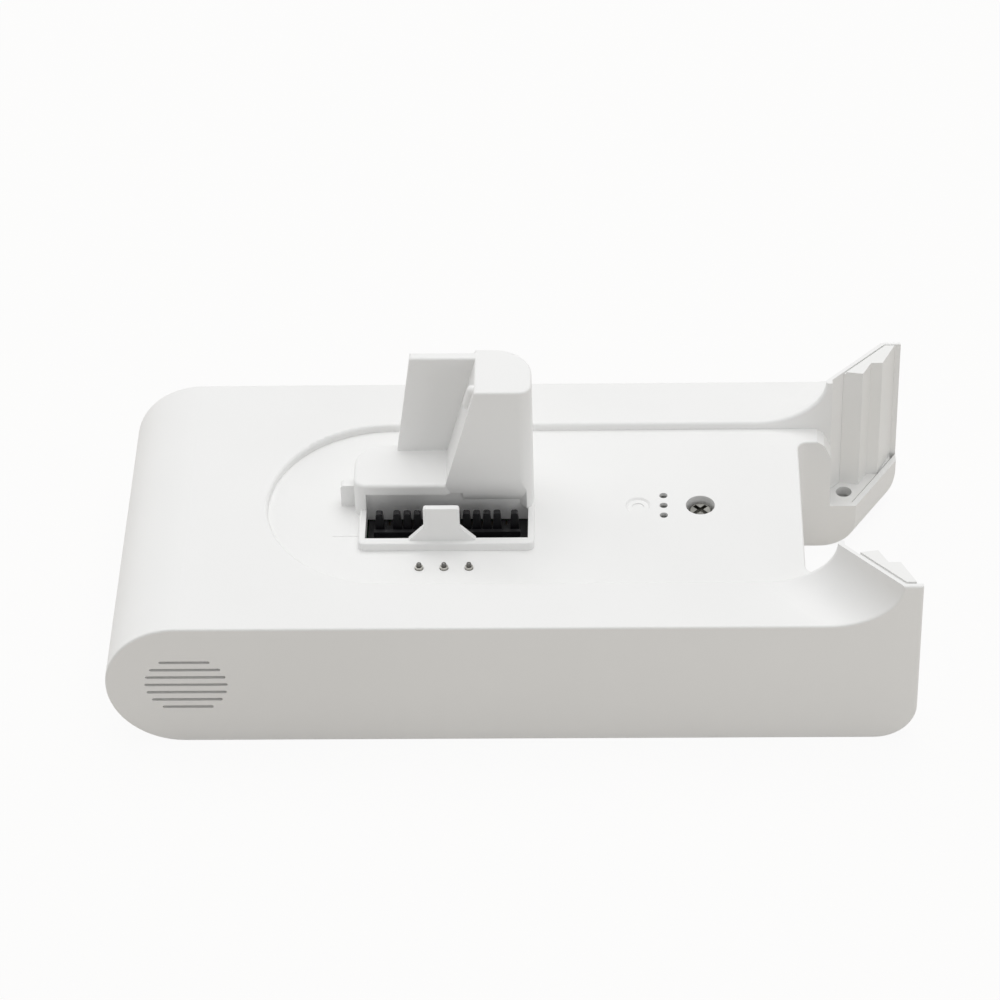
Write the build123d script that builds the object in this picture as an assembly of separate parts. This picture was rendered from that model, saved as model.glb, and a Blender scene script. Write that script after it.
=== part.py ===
from build123d import *
import math
import os

# Battery pack of a cordless vacuum cleaner, in millimetres.
# X runs from the round nose to the fork end, Z is up, the underside lies at Z = 0.

# Outer body
pack_length = 164.0
pack_width = 78.8
slab_height = 30.4
wall = 2.2
edge_round = 0.5
soft_round = 0.4            # small rounds on the moulded edges of the top
parting_height = 16.2       # joint between the two housings
lip_height = 2.0            # locating lip of the upper housing
lip_thickness = 0.9
fit_gap = 0.1               # between parts that locate in each other
heel_round = 8.5            # lower corner of the fork end

# Dock recess in the top
recess_depth = 1.7
recess_margin = 14.1        # from the side of the pack
recess_start = 31.4         # from the tip of the nose
recess_round = 0.7          # rounds the rim of the recess

# Fork end: depths are measured from the end of the pack
slot_depth = 22.2
slot_corner = 2.0
ledge_width = 4.5           # beside the slot
ledge_depth = 15.0
ledge_slope_run = 3.1
ledge_slope_drop = 4.6
arm_rise = 10.4             # above the slab
arm_depth = 17.3            # foot of the arm's diagonal wall at the recess
arm_tip = 3.8               # straight end of the arm's side
band_thickness = 0.8
tip_wall = 0.9
pocket_floor = 10.7
pocket_plate = 2.0
sill_step = 0.4             # the sill stands above the pocket floor
sill_depth = 9.4            # corner of the sill at the slot
sill_angle = 58.2
sill_round = 6.4            # under the sill's slanted end
sill_lip = 1.2
sill_gap = 0.35
rim_groove = 0.45           # shallow groove round the top of the rail
rim_groove_depth = 0.35
rail_gap = 0.04             # close fit of the rail in its arm
rail_rise = 0.1             # the rail stands above the arm
# corners of the stepped rail, from the end and from the side
rail_steps = [(13.3, 10.2), (8.5, 11.0), (6.6, 7.35), (4.2, 7.35), (1.25, 1.1)]
guide_hole_shift = -0.2     # from the middle of the pocket floor
guide_hole_inset = 13.4     # from the side
guide_hole_radius = 1.7
guide_pit_radius = 1.9
guide_pit_depth = 5.0

# Side grilles
grille_inset = 16.4         # from the tip of the nose
grille_lift = 0.35          # above the middle of the nose
grille_half_length = 8.45
grille_half_height = 7.6
grille_slots = 7
grille_pitch = 2.0
grille_slot_height = 0.7

# Connector shroud and guide tower: places along X are measured from the middle of the shroud
dock_offset = 12.0          # middle of the shroud, from the centre of the recess arc
shroud_half_length = 18.0
shroud_front = -13.6
shroud_rim = 1.9            # rim height above the recess floor
shroud_wall = 1.3
shroud_front_wall = 1.8
hood_left = -19.2
hood_front = -2.8
hood_back = 10.75
hood_rise = 8.4             # above the recess floor
hood_thickness = 2.5
hood_depth = 1.8            # the connector reaches this far in under the hood
hood_corner = 2.4
hood_back_corner = 6.0
hood_round = 0.7
tower_rise = 32.4
tower_right = 17.8
tower_back = 11.7
tower_front_round = 2.6
tower_back_round = 8.0
tower_foot = -0.2
tower_head = 6.3
tower_undercut = 3.5        # the curve under the tower starts this far above the hood's underside
undercut_drop = 2.8         # and ends this far below it
undercut_run = 3.5          # slanted start of that curve at the hood
undercut_end = 1.8          # slanted end of that curve at the right
tower_round = 0.5
panel_front = 8.6
panel_foot = -10.5
panel_head = -7.1
nub_radius = 1.15
nub_set_back = 2.9          # from the front of the tower
nub_length = 3.6
nub_drop = 0.5
rib_length = 2.9
rib_front = 0.7
rib_back = 2.7
rib_height = 5.5
rib_round = 0.8
pad_length = 4.4
pad_front = -8.9
pad_height = 0.08
tongue_offset = -0.8
tongue_rise = 10.25
tongue_half_width = 3.7
tongue_foot_half_width = 6.9
tongue_shoulder_rise = 5.3
tongue_front = -12.6
tongue_thickness = 1.2
tongue_round = 0.6

# Marks and holes in the recess floor
marks_y = 0.4               # they lie this far off the middle
screw_shift = 1.2           # from the last valley between the cells
lamp_spacing = 7.6          # from the screw
gate_spacing = 12.9         # from the screw
gate_radius = 2.6
gate_depth = 0.4            # its wall slants at 45 degrees
gate_spot_radius = 1.25
gate_spot_depth = 0.2
lamp_pitch = 3.15
lamp_hole_radius = 0.85
screw_seat_depth = 2.8
screw_head_radius = 2.5
screw_head_height = 1.6
screw_head_round = 0.6
screw_shank_radius = 1.25
screw_length = 7.0
screw_clearance = 0.25
cross_length = 3.5
cross_width = 0.85
cross_depth = 1.0
cross_turn = 45.0
cover_boss_radius = 4.4
cover_boss_depth = 1.9

# Cells and their frame
board_headroom = 2.9        # between the board and the housing
board_thickness = 1.6
cell_end_room = 4.7         # between the cells' ends and the housing
cell_spacing = 0.2
cell_gap = 0.15
cell_groove_inner = 3.0
cell_groove_outer = 5.4
cell_groove_depth = 0.6
foam_thickness = 0.8
frame_depth = 8.0           # along the cells, at each end
frame_skin = 0.45           # over and under the bores
frame_end = 0.9             # past the outermost bores
frame_gap = 0.35            # to the housing at the slot
rail_width = 6.0
rail_height = 2.0
boss_radius = 2.6
strip_thickness = 0.25
strip_height = 8.0
strip_reach = 5.0
tab_width = 6.0
tab_drop = 0.6              # below the top of the cell
sheet_thickness = 0.3
sheet_drop = 0.2

# Control board and what it carries
board_reach = 22.7          # past the middle of the shroud
board_stop = 5.4            # short of the screw
board_edge = 4.5            # inside the cells' ends
board_screw_inset = 2.0
board_screw_margin = 9.0
board_screw_head_radius = 1.6
board_screw_head_height = 1.3
board_screw_radius = 0.8
board_screw_length = 5.0
board_hole_gap = 0.1
mosfet_size = (6.2, 5.2, 1.1)
mosfet_inset = 8.0
mosfet_pitch = 9.0
mosfet_far_inset = 14.5
mosfet_edge = 12.0
chip_size = (7.0, 7.0, 1.2)
chip_inset = 19.5
chip_edge = 10.0
shunt_size = (6.4, 3.2, 0.8)
shunt_inset = 8.0
shunt_edge = 8.0
lamp_size = (1.6, 1.6, 0.7)
guide_bar_height = 1.0
guide_bar_width = 2.4
guide_sink = 0.8
probe_radius = 1.0
probe_length = 6.0
lead_radius = 0.9
lead_bend = 2.2

# Connector insert: levels are measured from the recess floor
insert_gap = 0.3
insert_floor_drop = 3.2
insert_pit_drop = 2.2
insert_bar_drop = 0.1
insert_bar_front = -7.6
insert_bar_back = -6.7
insert_bar_inset = 1.3
fin_front = -6.1
fin_depth = 1.3
fin_rise = 3.5
fin_width = 1.4             # at the top
fin_foot_width = 2.05
fin_offsets = [2.0, 4.0, 6.1, 8.2, 10.3, 13.9]
contact_thickness = 0.4
contact_depth = 1.6
contact_slot_depth = 2.0
contact_drop = 0.3          # below the mouth of its slot
contact_gap = 0.05

# Spring pins
pin_offset = -0.3
pin_pitch = 5.08
pin_y = -19.0
pin_count = 3
barrel_radius = 0.82
barrel_bore = 0.66
barrel_rise = 0.55          # above the recess floor
barrel_lip = 0.4
barrel_base = 0.5
barrel_hole_gap = 0.1
plunger_radius = 0.52
plunger_foot_radius = 0.61
plunger_foot = 0.9
plunger_travel = 0.8
plunger_gap = 0.05
spring_radius = 0.44
spring_wire = 0.1
spring_pitch = 0.5

# Places that follow from the sizes above
half_length = pack_length / 2
half_width = pack_width / 2
nose_radius = slab_height / 2
nose_x = -half_length + nose_radius
floor_top = slab_height - recess_depth
floor_under = floor_top - wall
cavity_half = half_width - wall
recess_half_width = half_width - recess_margin
recess_arc_x = -half_length + recess_start + recess_half_width
slot_half_width = recess_half_width - ledge_width
slot_x = half_length - slot_depth
cavity_right = slot_x - wall
ledge_x = half_length - ledge_depth
arm_height = slab_height + arm_rise
arm_x = half_length - arm_depth
arm_slope = recess_margin / (arm_depth - arm_tip)
arm_turn = math.atan(arm_slope)
sill_x = half_length - sill_depth
sill_top = pocket_floor + sill_step
pocket_bottom = pocket_floor - pocket_plate
rail_top = arm_height + rail_rise
rail_points = [(half_length - a, half_width - b) for a, b in rail_steps]
guide_hole_y = half_width - guide_hole_inset
grille_x = -half_length + grille_inset
dock_x = recess_arc_x + dock_offset
shroud_left = dock_x - shroud_half_length
shroud_right = dock_x + shroud_half_length
rim_top = floor_top + shroud_rim
hood_x = dock_x + hood_left
hood_top = floor_top + hood_rise
hood_under = hood_top - hood_thickness
insert_back = hood_front + hood_depth
tower_top = floor_top + tower_rise
tower_x = dock_x + tower_right
tower_foot_x = dock_x + tower_foot
tower_head_x = dock_x + tower_head
above = tower_top + wall    # clear of everything
board_top = floor_under - board_headroom
frame_top = board_top - board_thickness
cell_radius = (frame_top - frame_skin - cell_gap - foam_thickness - wall) / 2
cell_z = wall + foam_thickness + cell_radius
cell_length = pack_width - 2 * wall - 2 * cell_end_room
cell_pitch = 2 * cell_radius + cell_spacing
cell_last_x = cavity_right - frame_gap - frame_end - cell_gap - cell_radius
cell_count = int((cell_last_x - nose_x) / cell_pitch) + 1
cell_xs = [cell_last_x - cell_pitch * (cell_count - 1 - i) for i in range(cell_count)]
valleys = [(a + b) / 2 for a, b in zip(cell_xs, cell_xs[1:])]
frame_bottom = cell_z - cell_radius - cell_gap - frame_skin
frame_left = cell_xs[0] - cell_radius - cell_gap - frame_end
frame_right = cell_xs[-1] + cell_radius + cell_gap + frame_end
tab_height = cell_radius - tab_drop
sheet_height = 2 * (cell_radius - sheet_drop)
screw_x = valleys[-1] + screw_shift
screw_seat = floor_top - screw_seat_depth
cover_boss_bottom = floor_under - cover_boss_depth
lamp_x = screw_x - lamp_spacing
lamp_ys = [marks_y - lamp_pitch, marks_y, marks_y + lamp_pitch]
gate_x = screw_x - gate_spacing
board_left = dock_x - board_reach
board_right = screw_x - board_stop
board_half_width = cell_length / 2 - board_edge
pin_xs = [dock_x + pin_offset + pin_pitch * (i - (pin_count - 1) / 2) for i in range(pin_count)]
plunger_rise = plunger_travel + plunger_gap


def block(x0, x1, y0, y1, z0, z1):
    return Pos((x0 + x1) / 2, (y0 + y1) / 2, (z0 + z1) / 2) * Box(x1 - x0, y1 - y0, z1 - z0)


def post(x, y, z0, z1, radius):
    return Pos(x, y, (z0 + z1) / 2) * Cylinder(radius, z1 - z0)


def plan_prism(points, z0, z1):
    face = Pos(0, 0, z0) * make_face(Polyline(*points, close=True))
    return extrude(face, z1 - z0, dir=(0, 0, 1))


def side_prism(outline, y0, y1):
    # outline is drawn in X and Z
    plane = Plane(origin=(0, y1, 0), x_dir=(1, 0, 0), z_dir=(0, -1, 0))
    return extrude(plane * make_face(outline), y1 - y0)


def side_polygon(points, y0, y1):
    return side_prism(Polyline(*points, close=True), y0, y1)


def both_sides(shape):
    return shape + mirror(shape, about=Plane.XZ)


def body_outline(inset):
    # round nose at the left, square top, rounded heel at the right
    low = inset
    high = slab_height - inset
    right = half_length - inset
    heel = heel_round - inset
    return Curve() + [
        Line((nose_x, low), (right - heel, low)),
        RadiusArc((right - heel, low), (right, low + heel), -heel),
        Line((right, low + heel), (right, high)),
        Line((right, high), (nose_x, high)),
        ThreePointArc((nose_x, high), (nose_x - nose_radius + inset, nose_radius), (nose_x, low)),
    ]


def arm_block():
    # wedge of the arm and the hollow ramp that leads up to its diagonal wall
    wedge = plan_prism(
        [
            (arm_x, recess_half_width),
            (half_length - arm_tip, half_width),
            (half_length, half_width),
            (half_length, recess_half_width),
        ],
        floor_under,
        arm_height,
    )
    plane = Plane(
        origin=(arm_x, recess_half_width, 0),
        x_dir=(-math.sin(arm_turn), math.cos(arm_turn), 0),
        z_dir=(math.cos(arm_turn), math.sin(arm_turn), 0),
    )
    ramp_face = make_face(
        [
            Line((0, floor_under), (arm_rise, floor_under)),
            Line((arm_rise, floor_under), (arm_rise, slab_height)),
            RadiusArc((arm_rise, slab_height), (0, arm_height), arm_rise),
            Line((0, arm_height), (0, floor_under)),
        ]
    )
    ramp = extrude(plane * ramp_face, pack_width, both=True)
    keep = block(slot_x - pack_width, half_length, recess_half_width, half_width, 0, above)
    return wedge + (ramp & keep)


def mouth(inset, z0, z1):
    # room of the fork below the pockets: along the slot, then out along the slanted sill
    turn = math.radians(sill_angle)
    side = slot_half_width + inset
    corner_x = sill_x - inset * math.tan(turn / 2)
    far_y = half_width - tip_wall
    right = half_length + pack_width
    outline = [
        (slot_x, 0),
        (slot_x, side),
        (corner_x, side),
        (corner_x + (far_y - side) / math.tan(turn), far_y),
        (right, far_y),
        (right, 0),
    ]
    return both_sides(plan_prism(outline, z0, z1))


def sill_underside():
    # rounds off the lower edge of the slanted sill
    turn = math.radians(sill_angle)
    plane = Plane(
        origin=(sill_x, slot_half_width, 0),
        x_dir=(math.sin(turn), -math.cos(turn), 0),
        z_dir=(-math.cos(turn), -math.sin(turn), 0),
    )
    corner = make_face(
        [
            RadiusArc((-sill_round, 0), (0, sill_round), -sill_round),
            Line((0, sill_round), (0, -wall)),
            Line((0, -wall), (-sill_round, -wall)),
            Line((-sill_round, -wall), (-sill_round, 0)),
        ]
    )
    cut = extrude(plane * corner, pack_width, both=True)
    return both_sides(cut & block(slot_x, pack_length, 0, half_width - tip_wall, -wall, above))


def guide_hole_x():
    # middle of the pocket floor, between the arm's band and the slanted sill
    turn = math.radians(sill_angle)
    lip = sill_lip + sill_gap
    band_x = arm_x + band_thickness / math.sin(arm_turn) + (guide_hole_y - recess_half_width) / arm_slope
    sill_run = (guide_hole_y - slot_half_width - lip) / math.tan(turn)
    sill_edge_x = sill_x - lip * math.tan(turn / 2) + sill_run
    return (max(ledge_x, band_x) + sill_edge_x) / 2 + guide_hole_shift


def pocket(gap, z0, z1):
    # room between the arm's band, its tip wall and the end of the ledge
    shift = (band_thickness + gap) / math.sin(arm_turn)
    left = ledge_x + gap
    tip_y = half_width - tip_wall - gap

    def band_y(x):
        return recess_half_width + (x - arm_x - shift) * arm_slope

    corner_x = arm_x + shift + (tip_y - recess_half_width) / arm_slope
    right = half_length + wall
    return plan_prism(
        [(left, 0), (left, band_y(left)), (corner_x, tip_y), (right, tip_y), (right, 0)], z0, z1
    )


def outer_body():
    slab = side_prism(body_outline(0), -half_width, half_width)
    body = slab + both_sides(arm_block())
    rims = body.edges().filter_by_position(Axis.Y, half_width - fit_gap, half_width + fit_gap)
    rims += body.edges().filter_by_position(Axis.Y, -half_width - fit_gap, -half_width + fit_gap)
    body = fillet(rims, edge_round)
    recess = post(recess_arc_x, 0, floor_top, above, recess_half_width)
    recess += block(recess_arc_x, ledge_x, -recess_half_width, recess_half_width, floor_top, above)
    slot = extrude(
        Pos(slot_x + half_length, 0, 0) * RectangleRounded(pack_length, 2 * slot_half_width, slot_corner),
        above,
    )
    slope_x = ledge_x - ledge_slope_run
    slope = both_sides(
        side_polygon(
            [
                (slope_x, above),
                (slope_x, floor_top),
                ((slope_x + ledge_x) / 2, floor_top - ledge_slope_drop / 4),
                (ledge_x, floor_top - ledge_slope_drop),
                (ledge_x + wall, floor_top - ledge_slope_drop),
                (ledge_x + wall, above),
            ],
            0,
            recess_half_width,
        )
    )
    body = body - recess
    rim = body.edges().filter_by(GeomType.CIRCLE)
    rim = rim.filter_by_position(Axis.Z, slab_height - fit_gap, slab_height + fit_gap)
    body = fillet(rim.sort_by(Axis.X)[:1], recess_round)
    body = body - slot
    lip = body.edges().filter_by_position(Axis.Z, floor_top - fit_gap, floor_top + fit_gap)
    lip = lip.filter_by_position(Axis.X, slot_x - fit_gap, slot_x + slot_corner)
    body = fillet(lip, soft_round)
    room = pocket(0, pocket_bottom, sill_top) - mouth(sill_lip, 0, above)
    room += pocket(0, sill_top, above)
    room += rail_steps_prism(pocket_floor - fit_gap, sill_top) & pocket(0, 0, above)
    return body - slope - mouth(0, 0, sill_top) - sill_underside() - both_sides(room)


def cavity():
    inside = side_prism(body_outline(wall), -cavity_half, cavity_half)
    inside &= block(-half_length, cavity_right, -half_width, half_width, 0, floor_under)
    pod = block(
        cavity_right - wall,
        ledge_x - wall,
        slot_half_width + wall,
        cavity_half,
        wall,
        floor_top - ledge_slope_drop - wall,
    )
    return inside + both_sides(pod)


def grille_cut():
    cuts = []
    for i in range(grille_slots):
        rise = grille_pitch * (i - (grille_slots - 1) / 2)
        reach = grille_half_length * math.sqrt(1 - (rise / grille_half_height) ** 2)
        slot = SlotOverall(2 * reach, grille_slot_height)
        middle = (grille_x, half_width, nose_radius + grille_lift + rise)
        plane = Plane(origin=middle, x_dir=(1, 0, 0), z_dir=(0, -1, 0))
        cuts.append(extrude(plane * slot, pack_width))
    return Part() + cuts


def tower():
    face = make_face(
        Polyline(
            (tower_foot_x, hood_front),
            (tower_x, hood_front),
            (tower_x, tower_back),
            (tower_foot_x, tower_back),
            close=True,
        )
    )
    face = fillet(face.vertices().group_by(Axis.X)[-1].sort_by(Axis.Y)[:1], tower_front_round)
    face = fillet(face.vertices().group_by(Axis.X)[-1].sort_by(Axis.Y)[-1:], tower_back_round)
    column = extrude(Pos(0, 0, floor_top) * face, tower_rise, dir=(0, 0, 1))
    column &= side_polygon(
        [
            (tower_foot_x, floor_top),
            (tower_x, floor_top),
            (tower_x, tower_top),
            (tower_head_x, tower_top),
            (tower_foot_x, hood_top),
        ],
        hood_front,
        tower_back,
    )
    panel = side_polygon(
        [
            (dock_x + panel_foot, hood_top - hood_thickness),
            (dock_x + panel_foot, hood_top),
            (dock_x + panel_head, tower_top),
            (tower_head_x + wall, tower_top),
            (tower_foot_x + wall, hood_top),
            (tower_foot_x + wall, hood_top - hood_thickness),
        ],
        panel_front,
        hood_back,
    )
    raised = column + panel
    raised = fillet(raised.faces().sort_by(Axis.Z)[-1].edges(), tower_round)
    lean = math.atan2(tower_head_x - tower_foot_x, tower_top - hood_top)
    nub = Cylinder(nub_radius, nub_length)
    nub += Pos(0, 0, nub_length / 2) * Sphere(nub_radius) + Pos(0, 0, -nub_length / 2) * Sphere(nub_radius)
    nub = Pos(0, 0, -nub_length / 2 - nub_radius - nub_drop) * nub
    nub = Pos(tower_head_x, hood_front + nub_set_back, tower_top) * Rot(0, math.degrees(lean), 0) * nub
    return raised + nub


def shroud():
    hood = block(hood_x, tower_x - tower_back_round, hood_front, hood_back, floor_top, hood_top)
    hood = fillet(hood.edges().filter_by(Axis.Z).group_by(Axis.X)[0].sort_by(Axis.Y)[:1], hood_corner)
    hood = fillet(hood.edges().filter_by(Axis.Z).group_by(Axis.X)[0].sort_by(Axis.Y)[-1:], hood_back_corner)
    hood = fillet(hood.edges().group_by(Axis.Z)[-1].sort_by(Axis.X)[:-1], hood_round)
    rim = block(shroud_left, shroud_right, shroud_front, hood_front + wall, floor_top, rim_top)
    rim = fillet(rim.edges().filter_by(Axis.Z).group_by(Axis.Y)[0], shroud_wall)
    rim = fillet(rim.edges().group_by(Axis.Z)[-1].sort_by(Axis.Y)[:-1], soft_round)
    middle = dock_x + tongue_offset
    tongue = side_polygon(
        [
            (middle - tongue_foot_half_width, rim_top - shroud_rim),
            (middle + tongue_foot_half_width, rim_top - shroud_rim),
            (middle + tongue_foot_half_width, rim_top),
            (middle + tongue_half_width, floor_top + tongue_shoulder_rise),
            (middle + tongue_half_width, floor_top + tongue_rise),
            (middle - tongue_half_width, floor_top + tongue_rise),
            (middle - tongue_half_width, floor_top + tongue_shoulder_rise),
            (middle - tongue_foot_half_width, rim_top),
        ],
        tongue_front,
        tongue_front + tongue_thickness,
    )
    tongue = fillet(tongue.edges().filter_by(Axis.Y).group_by(Axis.Z)[-1], tongue_round)
    rib = block(hood_x - rib_length, hood_x + wall, rib_front, rib_back, floor_top, floor_top + rib_height)
    rib = fillet(rib.edges().filter_by(Axis.Y).group_by(Axis.Z)[-1].sort_by(Axis.X)[:1], rib_round)
    pad_top = floor_top + pad_height
    pad = block(hood_x - pad_length, shroud_left + wall, pad_front, rib_back, floor_top, pad_top)
    return hood + rim + rib + pad + tower(), tongue


def shroud_hollows():
    left = shroud_left + shroud_wall
    right = shroud_right - shroud_wall
    front = shroud_front + shroud_front_wall
    undercut_x = tower_foot_x + undercut_run
    opening = block(left, right, front, insert_back, floor_under - wall, rim_top)
    opening += block(left, undercut_x, front, insert_back, rim_top, hood_under)
    start = (hood_front, hood_under + tower_undercut)
    end = (insert_back, hood_under - undercut_drop)
    curve = [
        TangentArc(start, end, tangent=(0, -1)),
        Line(end, (end[0], rim_top)),
        Line((end[0], rim_top), (front, rim_top)),
        Line((front, rim_top), (front, start[1])),
        Line((front, start[1]), start),
    ]
    plane = Plane(origin=(tower_foot_x, 0, 0), x_dir=(0, 1, 0), z_dir=(1, 0, 0))
    undercut = extrude(plane * make_face(curve), right - tower_foot_x)
    undercut &= plan_prism(
        [
            (tower_foot_x, front),
            (tower_foot_x, hood_front),
            (undercut_x, insert_back),
            (right - undercut_end, insert_back),
            (right, hood_front),
            (right, front),
        ],
        rim_top,
        above,
    )
    opening += undercut
    base = block(
        hood_x + wall,
        tower_x - tower_back_round,
        insert_back + wall,
        hood_back - wall,
        floor_under - wall,
        hood_top - wall,
    )
    base &= block(-half_length, half_length, -half_width, tower_back - 2 * wall, 0, above)
    lean_shift = wall / math.cos(math.atan2(tower_head_x - tower_foot_x, tower_top - hood_top))
    inner_x = tower_x - wall
    inner_y = tower_back - wall
    inner_round = tower_back_round - wall
    column = plan_prism(
        [
            (tower_foot_x, insert_back + wall),
            (inner_x, insert_back + wall),
            (inner_x, inner_y - inner_round),
            (inner_x - inner_round, inner_y),
            (tower_foot_x, inner_y),
        ],
        floor_under - wall,
        tower_top - wall,
    )
    column &= side_polygon(
        [
            (tower_foot_x + lean_shift, 0),
            (tower_x, 0),
            (tower_x, tower_top),
            (tower_head_x + lean_shift, tower_top),
            (tower_foot_x + lean_shift, hood_top),
        ],
        -half_width,
        half_width,
    )
    return opening, base + column


def floor_marks():
    dish = Cone(gate_radius - gate_depth, gate_radius, gate_depth)
    cuts = Pos(gate_x, marks_y, floor_top - gate_depth / 2) * dish
    cuts += post(gate_x, marks_y, floor_top - gate_depth - gate_spot_depth, floor_top, gate_spot_radius)
    for y in lamp_ys:
        cuts += post(lamp_x, y, floor_under - wall, above, lamp_hole_radius)
    cuts += post(screw_x, marks_y, screw_seat, above, screw_head_radius + screw_clearance * 2)
    cuts += post(screw_x, marks_y, 0, above, screw_shank_radius + screw_clearance)
    for x in pin_xs:
        cuts += post(x, pin_y, floor_under - wall, above, barrel_radius + barrel_hole_gap)
    return cuts


def locating_lips():
    inner = cavity_half - lip_thickness
    lip = block(
        nose_x, cavity_right, inner, cavity_half - fit_gap, parting_height - lip_height, parting_height
    )
    lip += block(
        nose_x, cavity_right, inner, cavity_half + fit_gap, parting_height, parting_height + lip_height
    )
    return both_sides(lip)


def housings():
    shell = outer_body() - cavity()
    lower = shell & block(
        -pack_length, pack_length, -pack_width, pack_width, -wall, parting_height
    )
    pits = post(guide_hole_x(), guide_hole_y, pocket_bottom - guide_pit_depth, pocket_floor, guide_pit_radius)
    lower = lower - both_sides(pits) - grille_cut()
    upper = shell & block(-pack_length, pack_length, -pack_width, pack_width, parting_height, above)
    raised, tongue = shroud()
    opening, hollow = shroud_hollows()
    boss = post(screw_x, marks_y, cover_boss_bottom, floor_under + wall / 2, cover_boss_radius)
    upper = upper + raised + boss + locating_lips() - opening - hollow + tongue
    return lower, upper - floor_marks() - grille_cut()


def rail_steps_prism(z0, z1):
    # stepped face of the guide rail, carried on outwards past the arm's walls
    first, second = rail_points[0], rail_points[1]
    slope = (second[1] - first[1]) / (second[0] - first[0])
    start = (arm_x, first[1] + slope * (arm_x - first[0]))
    end = (rail_points[-1][0] + tip_wall / 2, half_width)
    return plan_prism([start] + rail_points + [end, (arm_x, half_width)], z0, z1)


def rail_insert():
    # stepped guide rail with the floor of its pocket, for the rear arm
    groove_top = rail_top - rail_rise - rim_groove_depth
    rail = rail_steps_prism(pocket_floor, rail_top)
    rail &= pocket(rail_gap, 0, groove_top) + pocket(rim_groove, groove_top, above)
    plate = pocket(rail_gap, pocket_bottom, pocket_floor) - mouth(sill_lip + sill_gap, 0, above)
    plate &= block(0, rail_points[-1][0], 0, half_width, 0, above)
    hole = post(guide_hole_x(), guide_hole_y, 0, pocket_floor, guide_hole_radius)
    return rail + plate - hole


def cover_screw():
    head_top = screw_seat + screw_head_height
    head = post(screw_x, marks_y, screw_seat, head_top, screw_head_radius)
    head = fillet(head.edges().group_by(Axis.Z)[-1], screw_head_round)
    shank = post(screw_x, marks_y, screw_seat - screw_length, screw_seat, screw_shank_radius)
    shank = chamfer(shank.edges().group_by(Axis.Z)[0], screw_shank_radius / 2)
    cross = Box(cross_length, cross_width, 2 * cross_depth) + Box(cross_width, cross_length, 2 * cross_depth)
    return head + shank - Pos(screw_x, marks_y, head_top) * Rot(0, 0, cross_turn) * cross


def cell(x, flip):
    can = Pos(x, 0, cell_z) * Rot(90, 0, 0) * Cylinder(cell_radius, cell_length)
    ring = Cylinder(cell_groove_outer, cell_groove_depth) - Cylinder(cell_groove_inner, cell_groove_depth)
    y = (cell_length - cell_groove_depth) / 2
    return can - Pos(x, -y if flip else y, cell_z) * Rot(90, 0, 0) * ring


def nearest_valley(x):
    return min(valleys, key=lambda v: abs(v - x))


def cell_frame():
    inner = cell_length / 2 - frame_depth
    end = block(frame_left, frame_right, inner, cell_length / 2, frame_bottom, frame_top)
    for x in cell_xs:
        bore = Cylinder(cell_radius + cell_gap, cell_length + wall)
        end -= Pos(x, 0, cell_z) * Rot(90, 0, 0) * bore
    frame = both_sides(end)
    for x in (nearest_valley(board_left), nearest_valley(screw_x)):
        frame += block(
            x - rail_width / 2, x + rail_width / 2, -inner, inner, frame_top - rail_height, frame_top
        )
    boss = post(screw_x, marks_y, frame_top - rail_height, cover_boss_bottom, boss_radius)
    frame = frame + boss - post(screw_x, marks_y, 0, above, screw_shank_radius + fit_gap / 2)
    for x, y in board_screw_places():
        frame -= post(x, y, frame_top - board_screw_length, above, board_screw_radius + fit_gap / 2)
    return frame & nose_room()


def nose_room():
    # inside of the closed housing, for what reaches into its round nose
    return side_prism(body_outline(wall + fit_gap), -cavity_half, cavity_half)


def board_screw_places():
    # over the outermost valleys under the board, where the frame is thick
    xs = [v for v in valleys if board_left + board_screw_margin < v < board_right - board_screw_margin]
    y = board_half_width - board_screw_inset
    return [(x, side) for x in (xs[0], xs[-1]) for side in (-y, y)]


def nickel_strips():
    # series links on alternate ends, with a tab up to each lead at the two poles
    strips = []
    for i in range(cell_count + 1):
        side = -1 if i % 2 == 0 else 1
        members = [cell_xs[k] for k in (i - 1, i) if 0 <= k < cell_count]
        y = side * cell_length / 2
        y0, y1 = sorted((y, y + side * strip_thickness))
        strip = block(
            members[0] - strip_reach,
            members[-1] + strip_reach,
            y0,
            y1,
            cell_z - strip_height / 2,
            cell_z + strip_height / 2,
        )
        if len(members) == 1:
            x = members[0]
            strip += block(x - tab_width / 2, x + tab_width / 2, y0, y1, cell_z, cell_z + tab_height)
        strips.append(strip)
    return strips


def end_sheet():
    # insulating sheet over the welded links, rear side
    y = cell_length / 2 + strip_thickness
    low = cell_z - sheet_height / 2
    sheet = block(frame_left, frame_right, y, y + sheet_thickness, low, low + sheet_height)
    return sheet & nose_room()


def board():
    plate = block(
        board_left, board_right, -board_half_width, board_half_width, frame_top, board_top
    )
    for x, y in board_screw_places():
        plate -= post(x, y, 0, above, board_screw_radius + board_hole_gap)
    return plate


def board_screws():
    screws = []
    for x, y in board_screw_places():
        head = post(x, y, board_top, board_top + board_screw_head_height, board_screw_head_radius)
        head = fillet(head.edges().group_by(Axis.Z)[-1], board_screw_head_height / 3)
        screws.append(head + post(x, y, board_top - board_screw_length, board_top, board_screw_radius))
    return screws


def on_board(x, y, size):
    return block(
        x - size[0] / 2, x + size[0] / 2, y - size[1] / 2, y + size[1] / 2, board_top, board_top + size[2]
    )


def power_transistors():
    left = board_left + mosfet_inset
    right = board_right - mosfet_far_inset
    xs = (left, left + mosfet_pitch, right - mosfet_pitch, right)
    return [on_board(x, board_half_width - mosfet_edge, mosfet_size) for x in xs]


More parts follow.
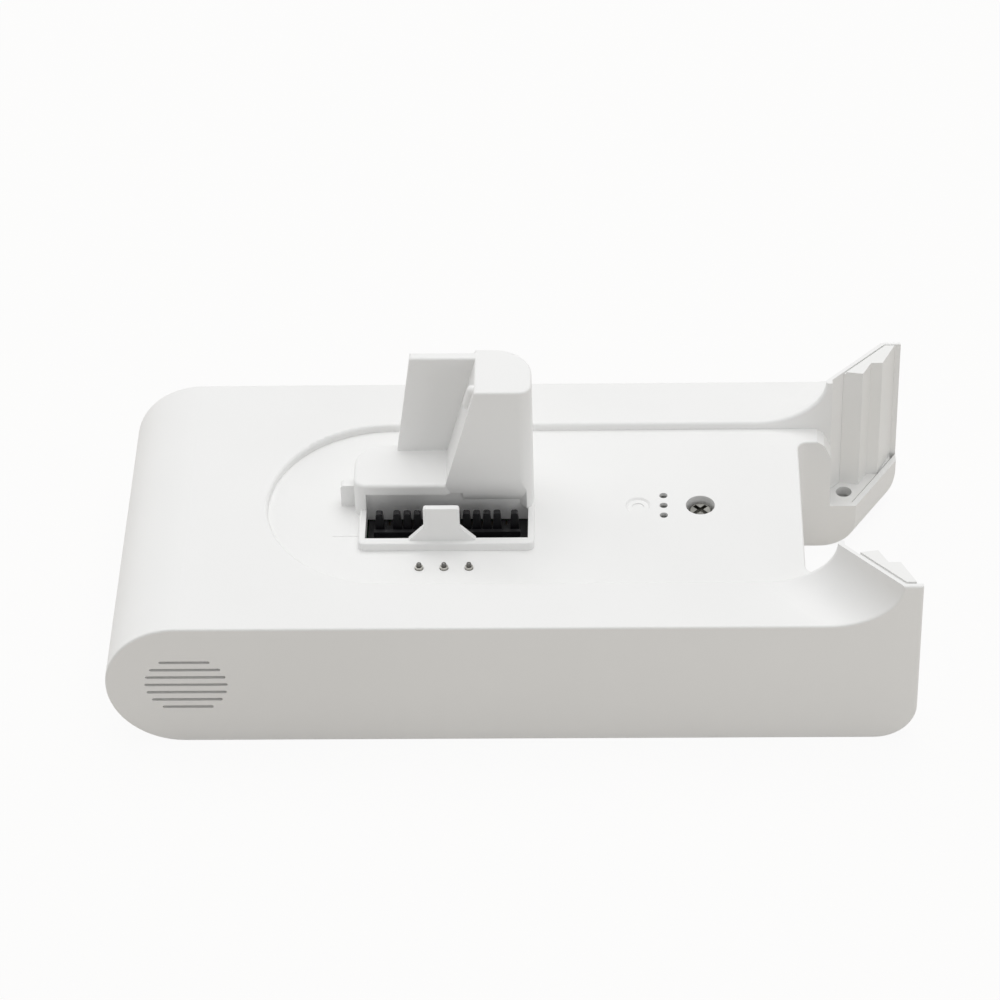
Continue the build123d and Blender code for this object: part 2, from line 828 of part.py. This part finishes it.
def light_guide():
    bar_bottom = board_top + lamp_size[2]
    half = guide_bar_width / 2
    guide = block(
        lamp_x - half,
        lamp_x + half,
        lamp_ys[0] - half,
        lamp_ys[-1] + half,
        bar_bottom,
        bar_bottom + guide_bar_height,
    )
    for y in lamp_ys:
        guide += post(lamp_x, y, bar_bottom, floor_top - guide_sink, lamp_hole_radius - fit_gap)
    return guide


def temperature_probe():
    # bead in the valley between two cells, with two legs up into the board
    x = nearest_valley(dock_x)
    z = frame_top - probe_radius - fit_gap
    bead = Pos(x, 0, z) * Rot(90, 0, 0) * Cylinder(probe_radius, probe_length)
    bead = fillet(bead.edges(), probe_radius * 0.8)
    leg_y = probe_length / 4
    legs = post(x, leg_y, z, frame_top, probe_radius / 3) + post(x, -leg_y, z, frame_top, probe_radius / 3)
    return bead + legs


def lead(x, side, board_x):
    # from a pole's tab, along the housing wall and in over the board's edge
    clear = lead_radius + fit_gap
    y_out = cell_length / 2 + strip_thickness + sheet_thickness + clear
    z_low = cell_z + tab_height - clear
    z_high = board_top + clear
    points = [
        (x, side * y_out, z_low),
        (board_x, side * y_out, z_high),
        (board_x, side * (board_half_width - 2 * lead_bend), z_high),
    ]
    path = FilletPolyline(*points, radius=lead_bend)
    return sweep(Plane(origin=path @ 0, z_dir=path % 0) * Circle(lead_radius), path=path)


def connector_insert():
    left = shroud_left + shroud_wall + insert_gap
    right = shroud_right - shroud_wall - insert_gap
    front = shroud_front + shroud_front_wall + insert_gap
    back = insert_back - insert_gap
    floor = floor_top - insert_floor_drop
    pit = floor_top - insert_pit_drop
    body = block(left, right, front, back, board_top, floor)
    body += block(left, right, insert_bar_back, back, floor, pit)
    body += block(
        left + insert_bar_inset,
        right - insert_bar_inset,
        insert_bar_front,
        insert_bar_back,
        floor,
        floor_top - insert_bar_drop,
    )
    for x in fin_places():
        fin = side_polygon(
            [
                (x - fin_foot_width / 2, pit),
                (x + fin_foot_width / 2, pit),
                (x + fin_width / 2, floor_top + fin_rise),
                (x - fin_width / 2, floor_top + fin_rise),
            ],
            fin_front,
            fin_front + fin_depth,
        )
        body += fillet(fin.edges().filter_by(Axis.Y).group_by(Axis.Z)[-1], fin_width * 0.35)
    for x in contact_places():
        half = contact_thickness / 2 + contact_gap
        body -= block(x - half, x + half, back - contact_depth, back + wall, pit - contact_slot_depth, pit)
    return body


def fin_places():
    return sorted([dock_x - o for o in fin_offsets] + [dock_x + o for o in fin_offsets])


def contact_places():
    # one behind each gap between neighbouring fins
    fins = fin_places()
    return [(a + b) / 2 for a, b in zip(fins, fins[1:])]


def contacts():
    # leaves that stand in the slots of the insert
    back = insert_back - insert_gap
    half = contact_thickness / 2
    pit = floor_top - insert_pit_drop
    low = pit - contact_slot_depth
    front = back - contact_depth + contact_gap
    return [block(x - half, x + half, front, back, low, pit - contact_drop) for x in contact_places()]


def pin_barrel(x):
    top = floor_top + barrel_rise
    tube = post(x, pin_y, board_top, top, barrel_radius)
    tube = chamfer(tube.edges().group_by(Axis.Z)[-1], (barrel_radius - plunger_radius) / 3)
    tube -= post(x, pin_y, board_top + barrel_base, top - barrel_lip, barrel_bore)
    return tube - post(x, pin_y, board_top + barrel_base, above, plunger_radius + plunger_gap)


def pin_plunger(x):
    lip_under = floor_top + barrel_rise - barrel_lip
    foot_top = lip_under - plunger_gap
    tip = floor_top + barrel_rise + plunger_rise
    stem = post(x, pin_y, foot_top - plunger_foot, tip, plunger_radius)
    stem = fillet(stem.edges().group_by(Axis.Z)[-1], plunger_radius * 0.8)
    return stem + post(x, pin_y, foot_top - plunger_foot, foot_top, plunger_foot_radius)


def pin_spring(x):
    low = board_top + barrel_base + spring_wire
    high = floor_top + barrel_rise - barrel_lip - plunger_gap - plunger_foot - spring_wire
    coil = Pos(x, pin_y, low) * Helix(spring_pitch, high - low, spring_radius)
    return sweep(Plane(origin=coil @ 0, z_dir=coil % 0) * Circle(spring_wire), path=coil, is_frenet=True)


def foam():
    inner = cell_length / 2 - frame_depth - wall
    return block(nose_x, frame_right, -inner, inner, wall, wall + foam_thickness - fit_gap)


def build():
    lower, upper = housings()
    rear_rail = rail_insert()
    nodes = {
        "lower_housing": lower,
        "upper_housing": upper,
        "rear_guide_rail": rear_rail,
        "front_guide_rail": mirror(rear_rail, about=Plane.XZ),
        "cover_screw": cover_screw(),
        "cell_frame": cell_frame(),
        "rear_end_sheet": end_sheet(),
        "front_end_sheet": mirror(end_sheet(), about=Plane.XZ),
        "foam_pad": foam(),
        "control_board": board(),
        "board_screws": Compound(children=board_screws()),
        "power_transistors": Compound(children=power_transistors()),
        "control_chip": on_board(board_right - chip_inset, chip_edge - board_half_width, chip_size),
        "sense_resistor": on_board(board_left + shunt_inset, shunt_edge - board_half_width, shunt_size),
        "indicator_lamps": Compound(children=[on_board(lamp_x, y, lamp_size) for y in lamp_ys]),
        "light_guide": light_guide(),
        "temperature_probe": temperature_probe(),
        "negative_lead": lead(cell_xs[0], -1, board_left + 3 * lead_bend),
        "positive_lead": lead(cell_xs[-1], 1, board_right - 3 * lead_bend),
        "connector_insert": connector_insert(),
        "connector_contacts": Compound(children=contacts()),
    }
    for i, x in enumerate(cell_xs):
        nodes[f"cell_{i + 1}"] = cell(x, i % 2 == 1)
    for i, strip in enumerate(nickel_strips()):
        nodes[f"nickel_strip_{i + 1}"] = strip
    for i, x in enumerate(pin_xs):
        nodes[f"pin_barrel_{i + 1}"] = pin_barrel(x)
        nodes[f"pin_plunger_{i + 1}"] = pin_plunger(x)
        nodes[f"pin_spring_{i + 1}"] = pin_spring(x)
    return nodes


os.makedirs("parts", exist_ok=True)
for name, shape in build().items():
    export_step(shape, f"parts/{name}.step")
    print(name, round(shape.volume, 1))
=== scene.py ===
import math

import bmesh
import bpy
from mathutils import Matrix, Quaternion, Vector


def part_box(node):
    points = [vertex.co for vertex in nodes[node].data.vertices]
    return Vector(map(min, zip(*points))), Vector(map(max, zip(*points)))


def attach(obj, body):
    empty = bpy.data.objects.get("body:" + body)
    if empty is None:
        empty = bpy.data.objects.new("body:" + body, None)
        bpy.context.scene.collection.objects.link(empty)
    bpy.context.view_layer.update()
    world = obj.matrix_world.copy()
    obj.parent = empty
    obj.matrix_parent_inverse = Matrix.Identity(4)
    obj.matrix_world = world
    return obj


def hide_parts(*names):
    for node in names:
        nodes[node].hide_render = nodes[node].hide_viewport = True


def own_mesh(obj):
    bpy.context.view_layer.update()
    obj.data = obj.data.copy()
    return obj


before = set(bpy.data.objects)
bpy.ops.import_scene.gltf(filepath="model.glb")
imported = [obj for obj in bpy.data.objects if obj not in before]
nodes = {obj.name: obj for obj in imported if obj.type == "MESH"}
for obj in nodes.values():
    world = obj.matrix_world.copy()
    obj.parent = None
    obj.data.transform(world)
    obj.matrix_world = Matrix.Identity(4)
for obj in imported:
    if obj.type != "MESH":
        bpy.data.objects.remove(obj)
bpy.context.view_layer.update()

mm = 0.001


def hexToLinear(code):
    parts = [int(code[i:i + 2], 16) / 255 for i in (1, 3, 5)]
    linear = [c / 12.92 if c <= 0.04045 else ((c + 0.055) / 1.055) ** 2.4 for c in parts]
    return (*linear, 1.0)


def addNode(tree, kind, inputs=None, **settings):
    node = tree.nodes.new(kind)
    for key, value in settings.items():
        setattr(node, key, value)
    for key, value in (inputs or {}).items():
        if isinstance(value, bpy.types.NodeSocket):
            tree.links.new(value, node.inputs[key])
        else:
            node.inputs[key].default_value = value
    return node


def startMaterial(name, **sockets):
    material = bpy.data.materials.new(name)
    material.use_nodes = True
    tree = material.node_tree
    shader = tree.nodes["Principled BSDF"]
    for key, value in sockets.items():
        shader.inputs[key.replace("_", " ")].default_value = value
    coord = addNode(tree, "ShaderNodeTexCoord").outputs["Object"]
    return material, tree, shader, coord


def perMetre(sizeMm):
    return 1.0 / (sizeMm * mm)      # noise scale for a grain of this many millimetres


def dress(material, *names):
    for name in names:
        slots = nodes[name].data.materials
        slots.clear()
        slots.append(material)


def named(*starts):
    return [n for n in sorted(nodes) if n.startswith(starts)]


# ABS, moulded in a spark-eroded tool: an even, nearly neutral white with a matt surface
# The grain is drawn coarser than the real one, which is too fine to show
absLook = {
    "body": {"pale": "#F3F3F2", "deep": "#EFEFEE", "grainMm": 0.30, "cloudMm": 26.0, "rough": (0.46, 0.56)},
    "rail": {"pale": "#F2F2F1", "deep": "#EEEEEC", "grainMm": 0.22, "cloudMm": 14.0, "rough": (0.40, 0.48)},
    "grainDepthMm": 0.012,
    "bumpStrength": 0.25,
    "cloudDetail": 3.0,
    "grainDetail": 2.0,
    "ior": 1.53,
}


def mouldedAbs(name, look):
    material, tree, shader, coord = startMaterial(name, IOR=absLook["ior"])
    cloud = addNode(tree, "ShaderNodeTexNoise", {
        "Vector": coord, "Scale": perMetre(look["cloudMm"]), "Detail": absLook["cloudDetail"]})
    grain = addNode(tree, "ShaderNodeTexNoise", {
        "Vector": coord, "Scale": perMetre(look["grainMm"]), "Detail": absLook["grainDetail"]})
    tint = addNode(tree, "ShaderNodeMix", {
        "Factor": cloud.outputs["Fac"], "A": hexToLinear(look["pale"]), "B": hexToLinear(look["deep"])},
        data_type="RGBA")
    rough = addNode(tree, "ShaderNodeMapRange", {
        "Value": grain.outputs["Fac"], "To Min": look["rough"][0], "To Max": look["rough"][1]})
    bump = addNode(tree, "ShaderNodeBump", {
        "Height": grain.outputs["Fac"], "Strength": absLook["bumpStrength"],
        "Distance": absLook["grainDepthMm"] * mm})
    tree.links.new(tint.outputs["Result"], shader.inputs["Base Color"])
    tree.links.new(rough.outputs["Result"], shader.inputs["Roughness"])
    tree.links.new(bump.outputs["Normal"], shader.inputs["Normal"])
    return material


dress(mouldedAbs("mattWhiteAbs", absLook["body"]), "upper_housing", "lower_housing")
dress(mouldedAbs("satinWhiteAbs", absLook["rail"]), "rear_guide_rail", "front_guide_rail")
print("housing finishes done")

# Nylon, ABS, epoxy, fish paper, foam, silicone and lamp resin: one colour each, faintly mottled
grainyLook = {
    "blackNylon": {"dark": "#0E0E10", "light": "#19191C", "grainMm": 0.5, "rough": 0.42, "depthMm": 0.02},
    "frameAbs": {"dark": "#2B2C2E", "light": "#36373A", "grainMm": 0.6, "rough": 0.55, "depthMm": 0.02},
    "chipEpoxy": {"dark": "#151515", "light": "#222222", "grainMm": 0.15, "rough": 0.5, "depthMm": 0.01},
    "fishPaper": {"dark": "#A3916A", "light": "#B9A77F", "grainMm": 1.2, "rough": 0.8, "depthMm": 0.03},
    "evaFoam": {"dark": "#3A3B3D", "light": "#4A4B4D", "grainMm": 0.7, "rough": 0.9, "depthMm": 0.08},
    "siliconeRed": {"dark": "#98211D", "light": "#A82A25", "grainMm": 2.0, "rough": 0.45, "depthMm": 0.01},
    "siliconeBlack": {"dark": "#18181A", "light": "#222225", "grainMm": 2.0, "rough": 0.45, "depthMm": 0.01},
    "lampResin": {"dark": "#E9E2C4", "light": "#F4EFDA", "grainMm": 0.8, "rough": 0.25, "depthMm": 0.01},
}
grainySurface = {"detail": 4.0, "bumpStrength": 0.4}


def grainyPlastic(name, look):
    material, tree, shader, coord = startMaterial(name, Roughness=look["rough"])
    grain = addNode(tree, "ShaderNodeTexNoise", {
        "Vector": coord, "Scale": perMetre(look["grainMm"]), "Detail": grainySurface["detail"]})
    tint = addNode(tree, "ShaderNodeMix", {
        "Factor": grain.outputs["Fac"], "A": hexToLinear(look["dark"]), "B": hexToLinear(look["light"])},
        data_type="RGBA")
    bump = addNode(tree, "ShaderNodeBump", {
        "Height": grain.outputs["Fac"], "Strength": grainySurface["bumpStrength"],
        "Distance": look["depthMm"] * mm})
    tree.links.new(tint.outputs["Result"], shader.inputs["Base Color"])
    tree.links.new(bump.outputs["Normal"], shader.inputs["Normal"])
    return material


grainy = {name: grainyPlastic(name, look) for name, look in grainyLook.items()}
dress(grainy["blackNylon"], "connector_insert")
dress(grainy["frameAbs"], "cell_frame")
dress(grainy["chipEpoxy"], "power_transistors", "control_chip", "sense_resistor", "temperature_probe")
dress(grainy["fishPaper"], "rear_end_sheet", "front_end_sheet")
dress(grainy["evaFoam"], "foam_pad")
dress(grainy["siliconeRed"], "positive_lead")
dress(grainy["siliconeBlack"], "negative_lead")
dress(grainy["lampResin"], "indicator_lamps")

# Turned and plated pins, zinc-plated screws, rolled nickel, drawn wire and dull brass: streaky glints
metalLook = {
    "platedBrass": {"dark": "#A5A39E", "light": "#C8C6C0", "markMm": 0.12, "rough": (0.26, 0.42)},
    "wornPlating": {"dark": "#565553", "light": "#73726F", "markMm": 0.12, "rough": (0.22, 0.34)},
    "zincSteel": {"dark": "#6E6D69", "light": "#A3A29D", "markMm": 0.5, "rough": (0.18, 0.32)},
    "rolledNickel": {"dark": "#A9A69F", "light": "#C4C1B9", "markMm": 0.4, "rough": (0.28, 0.4)},
    "springWire": {"dark": "#85868A", "light": "#A2A3A6", "markMm": 0.2, "rough": (0.25, 0.35)},
    "agedBrass": {"dark": "#39332A", "light": "#4C4537", "markMm": 0.4, "rough": (0.36, 0.48)},
}
metalMarks = {"stretch": (0.15, 0.15, 1.0), "detail": 3.0}      # long across, short up and down


def bareMetal(name, look):
    material, tree, shader, coord = startMaterial(name, Metallic=1.0)
    stretch = addNode(tree, "ShaderNodeMapping", {"Vector": coord, "Scale": metalMarks["stretch"]})
    marks = addNode(tree, "ShaderNodeTexNoise", {
        "Vector": stretch.outputs["Vector"], "Scale": perMetre(look["markMm"]),
        "Detail": metalMarks["detail"]})
    tint = addNode(tree, "ShaderNodeMix", {
        "Factor": marks.outputs["Fac"], "A": hexToLinear(look["dark"]), "B": hexToLinear(look["light"])},
        data_type="RGBA")
    rough = addNode(tree, "ShaderNodeMapRange", {
        "Value": marks.outputs["Fac"], "To Min": look["rough"][0], "To Max": look["rough"][1]})
    tree.links.new(tint.outputs["Result"], shader.inputs["Base Color"])
    tree.links.new(rough.outputs["Result"], shader.inputs["Roughness"])
    return material


metals = {name: bareMetal(name, look) for name, look in metalLook.items()}
dress(metals["platedBrass"], *named("pin_barrel"))
dress(metals["wornPlating"], *named("pin_plunger"))
dress(metals["zincSteel"], "cover_screw", "board_screws")
dress(metals["rolledNickel"], *named("nickel_strip"))
dress(metals["springWire"], *named("pin_spring"))
dress(metals["agedBrass"], "connector_contacts")
print("metal finishes done")

# Pin springs, wound again so that they shorten as a pin goes in
coilLook = {"wireMm": 0.1, "pitchMm": 0.5, "wireSides": 8, "stepsPerTurn": 16,
            "travelMm": 0.8, "slackMm": 0.02}


def windCoil(number):
    node = f"pin_spring_{number}"
    low, high = (Vector(corner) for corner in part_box(node))
    wire = coilLook["wireMm"] * mm
    length = high.z - low.z
    turns = (length - 2 * wire) / (coilLook["pitchMm"] * mm)
    steps = round(turns * coilLook["stepsPerTurn"])
    seat = Vector(((low.x + high.x) / 2, (low.y + high.y) / 2, low.z))
    radius = (high.x - low.x) / 2 - wire
    bm = bmesh.new()
    bmesh.ops.create_circle(bm, cap_ends=True, segments=coilLook["wireSides"], radius=wire)
    bmesh.ops.rotate(bm, verts=bm.verts, matrix=Matrix.Rotation(math.pi / 2, 3, "X"))
    bmesh.ops.translate(bm, verts=bm.verts, vec=seat + Vector((radius, 0, wire)))
    bmesh.ops.spin(bm, geom=bm.verts[:] + bm.edges[:] + bm.faces[:], cent=seat, axis=(0, 0, 1),
                   dvec=(0, 0, (length - 2 * wire) / steps), angle=turns * 2 * math.pi, steps=steps)
    bmesh.ops.recalc_face_normals(bm, faces=bm.faces)
    for face in bm.faces:
        face.smooth = True
    mesh = bpy.data.meshes.new(f"pinCoil{number}")
    bm.to_mesh(mesh)
    bm.free()
    mesh.materials.append(metals["springWire"])
    coil = bpy.data.objects.new(f"pinCoil{number}", mesh)
    bpy.context.scene.collection.objects.link(coil)
    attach(coil, "pack")
    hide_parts(node)
    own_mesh(coil)


for number in range(1, len(named("pin_spring")) + 1):
    windCoil(number)
print("pin springs done")

# Shrink sleeve on the cells: glossy PVC with a slight orange peel
sleeveLook = {"dark": "#1C5A66", "light": "#22697A", "peelMm": 3.0, "depthMm": 0.1, "rough": 0.28,
              "detail": 2.0, "bumpStrength": 0.2}
# Solder mask over fibreglass board: green, with a faint weave and paler tracks showing through
boardLook = {"mask": "#0F4A2A", "track": "#1C6A3E", "trackMm": 6.4, "trackWidth": 0.06, "weaveMm": 0.5,
             "depthMm": 0.02, "rough": 0.35, "detail": 2.0, "bumpStrength": 0.2}


def shrinkSleeve():
    material, tree, shader, coord = startMaterial("shrinkSleeve", Roughness=sleeveLook["rough"])
    peel = addNode(tree, "ShaderNodeTexNoise", {
        "Vector": coord, "Scale": perMetre(sleeveLook["peelMm"]), "Detail": sleeveLook["detail"]})
    tint = addNode(tree, "ShaderNodeMix", {
        "Factor": peel.outputs["Fac"], "A": hexToLinear(sleeveLook["dark"]),
        "B": hexToLinear(sleeveLook["light"])}, data_type="RGBA")
    bump = addNode(tree, "ShaderNodeBump", {
        "Height": peel.outputs["Fac"], "Strength": sleeveLook["bumpStrength"],
        "Distance": sleeveLook["depthMm"] * mm})
    tree.links.new(tint.outputs["Result"], shader.inputs["Base Color"])
    tree.links.new(bump.outputs["Normal"], shader.inputs["Normal"])
    return material


def solderMask():
    material, tree, shader, coord = startMaterial("solderMask", Roughness=boardLook["rough"])
    mask = hexToLinear(boardLook["mask"])
    tracks = addNode(tree, "ShaderNodeTexBrick", {
        "Vector": coord, "Scale": perMetre(boardLook["trackMm"]), "Color1": mask, "Color2": mask,
        "Mortar": hexToLinear(boardLook["track"]), "Mortar Size": boardLook["trackWidth"]})
    weave = addNode(tree, "ShaderNodeTexNoise", {
        "Vector": coord, "Scale": perMetre(boardLook["weaveMm"]), "Detail": boardLook["detail"]})
    bump = addNode(tree, "ShaderNodeBump", {
        "Height": weave.outputs["Fac"], "Strength": boardLook["bumpStrength"],
        "Distance": boardLook["depthMm"] * mm})
    tree.links.new(tracks.outputs["Color"], shader.inputs["Base Color"])
    tree.links.new(bump.outputs["Normal"], shader.inputs["Normal"])
    return material


# Acrylic light guide, moulded: coloured a flat grey as painted shade, so its ends read as dark dots deep in
# the lamp holes of the white recess
guideShadeLook = {"tint": "#5E5F5C", "rough": (0.22, 0.32), "streakMm": 1.0, "ior": 1.49}


def guidePaintedShade():
    # the grey tint is painted shade, standing in for the darkness deep inside the lamp holes
    tone = hexToLinear(guideShadeLook["tint"])
    material, tree, shader, coord = startMaterial("guidePaintedShade", IOR=guideShadeLook["ior"], Base_Color=tone)
    streak = addNode(tree, "ShaderNodeTexNoise", {"Vector": coord, "Scale": perMetre(guideShadeLook["streakMm"])})
    rough = addNode(tree, "ShaderNodeMapRange", {
        "Value": streak.outputs["Fac"], "To Min": guideShadeLook["rough"][0], "To Max": guideShadeLook["rough"][1]})
    tree.links.new(rough.outputs["Result"], shader.inputs["Roughness"])
    return material


dress(shrinkSleeve(), *[n for n in named("cell_") if n != "cell_frame"])
dress(solderMask(), "control_board")
dress(guidePaintedShade(), "light_guide")
print("inner finishes done")

# Floor, lights and camera
stageLook = {"floorSize": 4.0, "floor": "#D6D1C9", "floorRough": 0.9, "glow": "#FFFFFF", "floorGlow": 0.93,
             "skyLight": 0.44, "aim": (0.0, 0.0, 0.02)}
lampLook = {
    "softKey": {"power": 8.7, "size": 1.3, "place": (0.10, 0.28, 1.2)},
    "sideFill": {"power": 1.25, "size": 0.7, "place": (-0.82, 0.34, 0.36)},      # lifts the round nose
    "frontFill": {"power": 0.24, "size": 0.25, "place": (0.32, -0.40, 0.14)},   # fades towards the nose
}
cameraLook = {"aim": (-0.00249, 0.0, 0.03074), "azimuth": 2.094, "elevation": 39.905, "roll": -1.704,
              "distance": 0.82324, "lens": 143.43, "sensor": 36.0}


def cameraSees(tree):
    # one where the camera, a mirror or glass looks straight at it
    path = addNode(tree, "ShaderNodeLightPath")
    pair = addNode(tree, "ShaderNodeMath", {
        0: path.outputs["Is Camera Ray"], 1: path.outputs["Is Glossy Ray"]}, operation="ADD")
    total = addNode(tree, "ShaderNodeMath", {
        0: pair.outputs[0], 1: path.outputs["Is Transmission Ray"]}, operation="ADD", use_clamp=True)
    return total.outputs[0]


def layFloor():
    bm = bmesh.new()
    bmesh.ops.create_grid(bm, x_segments=1, y_segments=1, size=stageLook["floorSize"] / 2)
    mesh = bpy.data.meshes.new("studioFloor")
    bm.to_mesh(mesh)
    bm.free()
    floor = bpy.data.objects.new("studioFloor", mesh)
    bpy.context.scene.collection.objects.link(floor)
    tone = hexToLinear(stageLook["floor"])
    rough = stageLook["floorRough"]
    material, tree, shader, _ = startMaterial("paperSweep", Roughness=rough, Base_Color=tone)
    glow = addNode(tree, "ShaderNodeEmission", {"Color": hexToLinear(stageLook["glow"]), "Strength": 1.0})
    share = addNode(tree, "ShaderNodeMath", {
        0: cameraSees(tree), 1: stageLook["floorGlow"]}, operation="MULTIPLY")
    mix = addNode(tree, "ShaderNodeMixShader", {
        0: share.outputs[0], 1: shader.outputs["BSDF"], 2: glow.outputs[0]})
    tree.links.new(mix.outputs[0], tree.nodes["Material Output"].inputs["Surface"])
    mesh.materials.append(material)


def lightStudio():
    world = bpy.data.worlds.new("studioSky")
    world.use_nodes = True
    tree = world.node_tree
    sky = tree.nodes["Background"]
    strength = addNode(tree, "ShaderNodeMapRange", {
        "Value": cameraSees(tree), "To Min": stageLook["skyLight"], "To Max": 1.0})
    sky.inputs["Color"].default_value = (1.0, 1.0, 1.0, 1.0)
    tree.links.new(strength.outputs["Result"], sky.inputs["Strength"])
    bpy.context.scene.world = world
    for name, look in lampLook.items():
        light = bpy.data.lights.new(name, "AREA")
        light.shape = "DISK"
        light.size = look["size"]
        light.energy = look["power"]
        lamp = bpy.data.objects.new(name, light)
        lamp.visible_camera = False
        bpy.context.scene.collection.objects.link(lamp)
        place = Vector(look["place"])
        lamp.location = place
        lamp.rotation_euler = (Vector(stageLook["aim"]) - place).to_track_quat("-Z", "Y").to_euler()


def placeCamera():
    data = bpy.data.cameras.new("photoCamera")
    data.sensor_width = cameraLook["sensor"]
    data.lens = cameraLook["lens"]
    camera = bpy.data.objects.new("photoCamera", data)
    bpy.context.scene.collection.objects.link(camera)
    turn = math.radians(cameraLook["azimuth"])
    rise = math.radians(cameraLook["elevation"])
    back = Vector((math.sin(turn) * math.cos(rise), -math.cos(turn) * math.cos(rise), math.sin(rise)))
    camera.location = Vector(cameraLook["aim"]) + back * cameraLook["distance"]
    level = (-back).to_track_quat("-Z", "Y")
    camera.rotation_euler = (level @ Quaternion((0, 0, 1), math.radians(cameraLook["roll"]))).to_euler()
    bpy.context.scene.camera = camera


layFloor()
lightStudio()
placeCamera()
bpy.context.scene.view_settings.view_transform = "Standard"
print("stage done")
